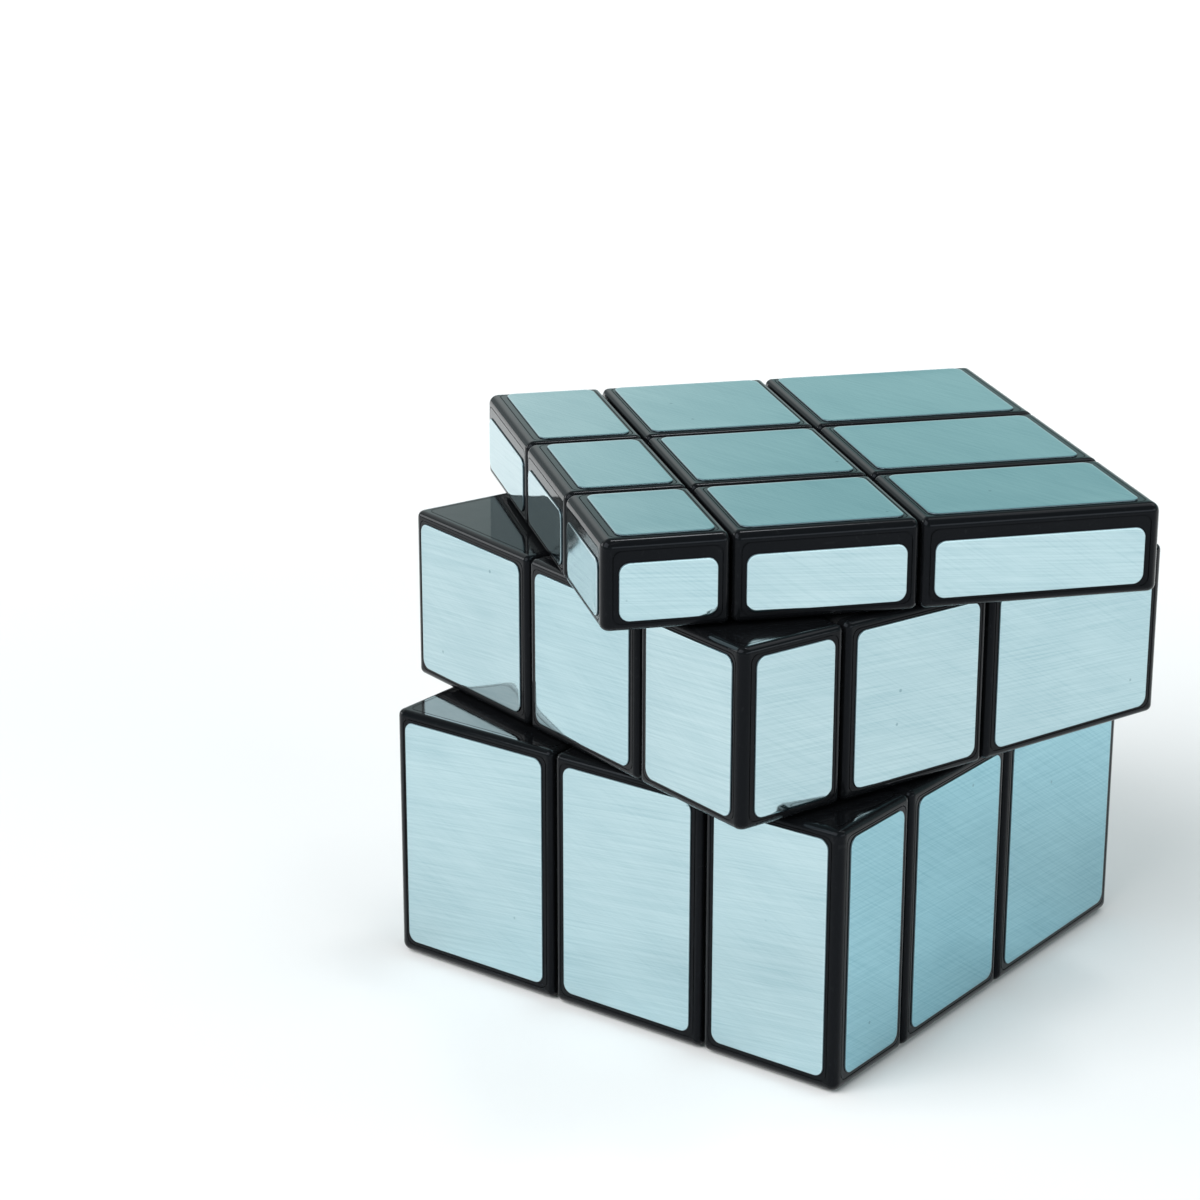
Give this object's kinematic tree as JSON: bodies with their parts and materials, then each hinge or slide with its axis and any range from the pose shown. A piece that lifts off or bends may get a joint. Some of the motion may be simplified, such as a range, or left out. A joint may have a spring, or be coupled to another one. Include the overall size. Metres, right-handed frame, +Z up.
{
  "type": "mirror block cube",
  "caption": "Twisting cube puzzle whose blocks differ in thickness and wear brushed silver foil, stored with its layers part-way through a turn.",
  "frame": {"origin": "where the layers' turning axis meets the plane the cube stands on, at the middle of the bottom centre's foil", "axes": "+Z up along the axis the three layers turn about; the bottom layer is square with X and Y, its 16.5 mm slab towards +X and its 25 mm slab towards +Y"},
  "size_m": [0.0791, 0.079, 0.057],
  "materials": {
    "black_plastic": "gloss black moulded plastic",
    "inner_plastic": "satin black moulded plastic",
    "brushed_foil": "brushed silver foil with a cool blue tint",
    "steel": "bright zinc-plated steel"
  },
  "bodies": {
    "bottom_layer": {"corner_bottom_left_front_shell": "black_plastic", "edge_bottom_front_shell": "black_plastic", "corner_bottom_right_front_shell": "black_plastic", "edge_bottom_left_shell": "black_plastic", "centre_bottom_body": "inner_plastic", "centre_bottom_cap": "black_plastic", "edge_bottom_right_shell": "black_plastic", "corner_bottom_left_back_shell": "black_plastic", "edge_bottom_back_shell": "black_plastic", "corner_bottom_right_back_shell": "black_plastic", "bottom_edge_feet": "inner_plastic", "bottom_corner_feet": "inner_plastic", "bottom_layer_left_foils": "brushed_foil", "bottom_layer_right_foils": "brushed_foil", "bottom_layer_front_foils": "brushed_foil", "bottom_layer_back_foils": "brushed_foil", "bottom_face_foils": "brushed_foil"},
    "lower_spring_seat": {"lower_washer": "steel", "lower_spring": "steel"},
    "middle_layer": {"edge_left_front_shell": "black_plastic", "centre_front_body": "inner_plastic", "centre_front_cap": "black_plastic", "edge_right_front_shell": "black_plastic", "centre_left_body": "inner_plastic", "centre_left_cap": "black_plastic", "centre_right_body": "inner_plastic", "centre_right_cap": "black_plastic", "edge_left_back_shell": "black_plastic", "centre_back_body": "inner_plastic", "centre_back_cap": "black_plastic", "edge_right_back_shell": "black_plastic", "middle_edge_feet": "inner_plastic", "core": "inner_plastic", "tension_screws": "steel", "side_washers": "steel", "side_springs": "steel", "middle_layer_left_foils": "brushed_foil", "middle_layer_right_foils": "brushed_foil", "middle_layer_front_foils": "brushed_foil", "middle_layer_back_foils": "brushed_foil"},
    "upper_spring_seat": {"upper_washer": "steel", "upper_spring": "steel"},
    "top_layer": {"corner_top_left_front_shell": "black_plastic", "edge_top_front_shell": "black_plastic", "corner_top_right_front_shell": "black_plastic", "edge_top_left_shell": "black_plastic", "centre_top_body": "inner_plastic", "centre_top_cap": "black_plastic", "edge_top_right_shell": "black_plastic", "corner_top_left_back_shell": "black_plastic", "edge_top_back_shell": "black_plastic", "corner_top_right_back_shell": "black_plastic", "top_edge_feet": "inner_plastic", "top_corner_feet": "inner_plastic", "top_layer_left_foils": "brushed_foil", "top_layer_right_foils": "brushed_foil", "top_layer_front_foils": "brushed_foil", "top_layer_back_foils": "brushed_foil", "top_face_foils": "brushed_foil"}
  },
  "joints": [
    {"name": "bottom_lift", "type": "slide", "parent": "bottom_layer", "child": "lower_spring_seat", "axis": [0, 0, 1], "range_m": [0, 0.0004], "stiffness_N_per_m": 1500, "springref_m": -0.001, "deforming": ["lower_spring"]},
    {"name": "bottom_turn", "type": "hinge", "parent": "lower_spring_seat", "child": "middle_layer", "pos_m": [0, 0, 0.0285], "axis": [0, 0, 1], "continuous": true},
    {"name": "top_turn", "type": "hinge", "parent": "middle_layer", "child": "upper_spring_seat", "pos_m": [0, 0, 0.0475], "axis": [0, 0, 1], "continuous": true},
    {"name": "top_lift", "type": "slide", "parent": "upper_spring_seat", "child": "top_layer", "axis": [0, 0, 1], "range_m": [0, 0.0004], "stiffness_N_per_m": 1500, "springref_m": -0.001, "deforming": ["upper_spring"]}
  ]
}
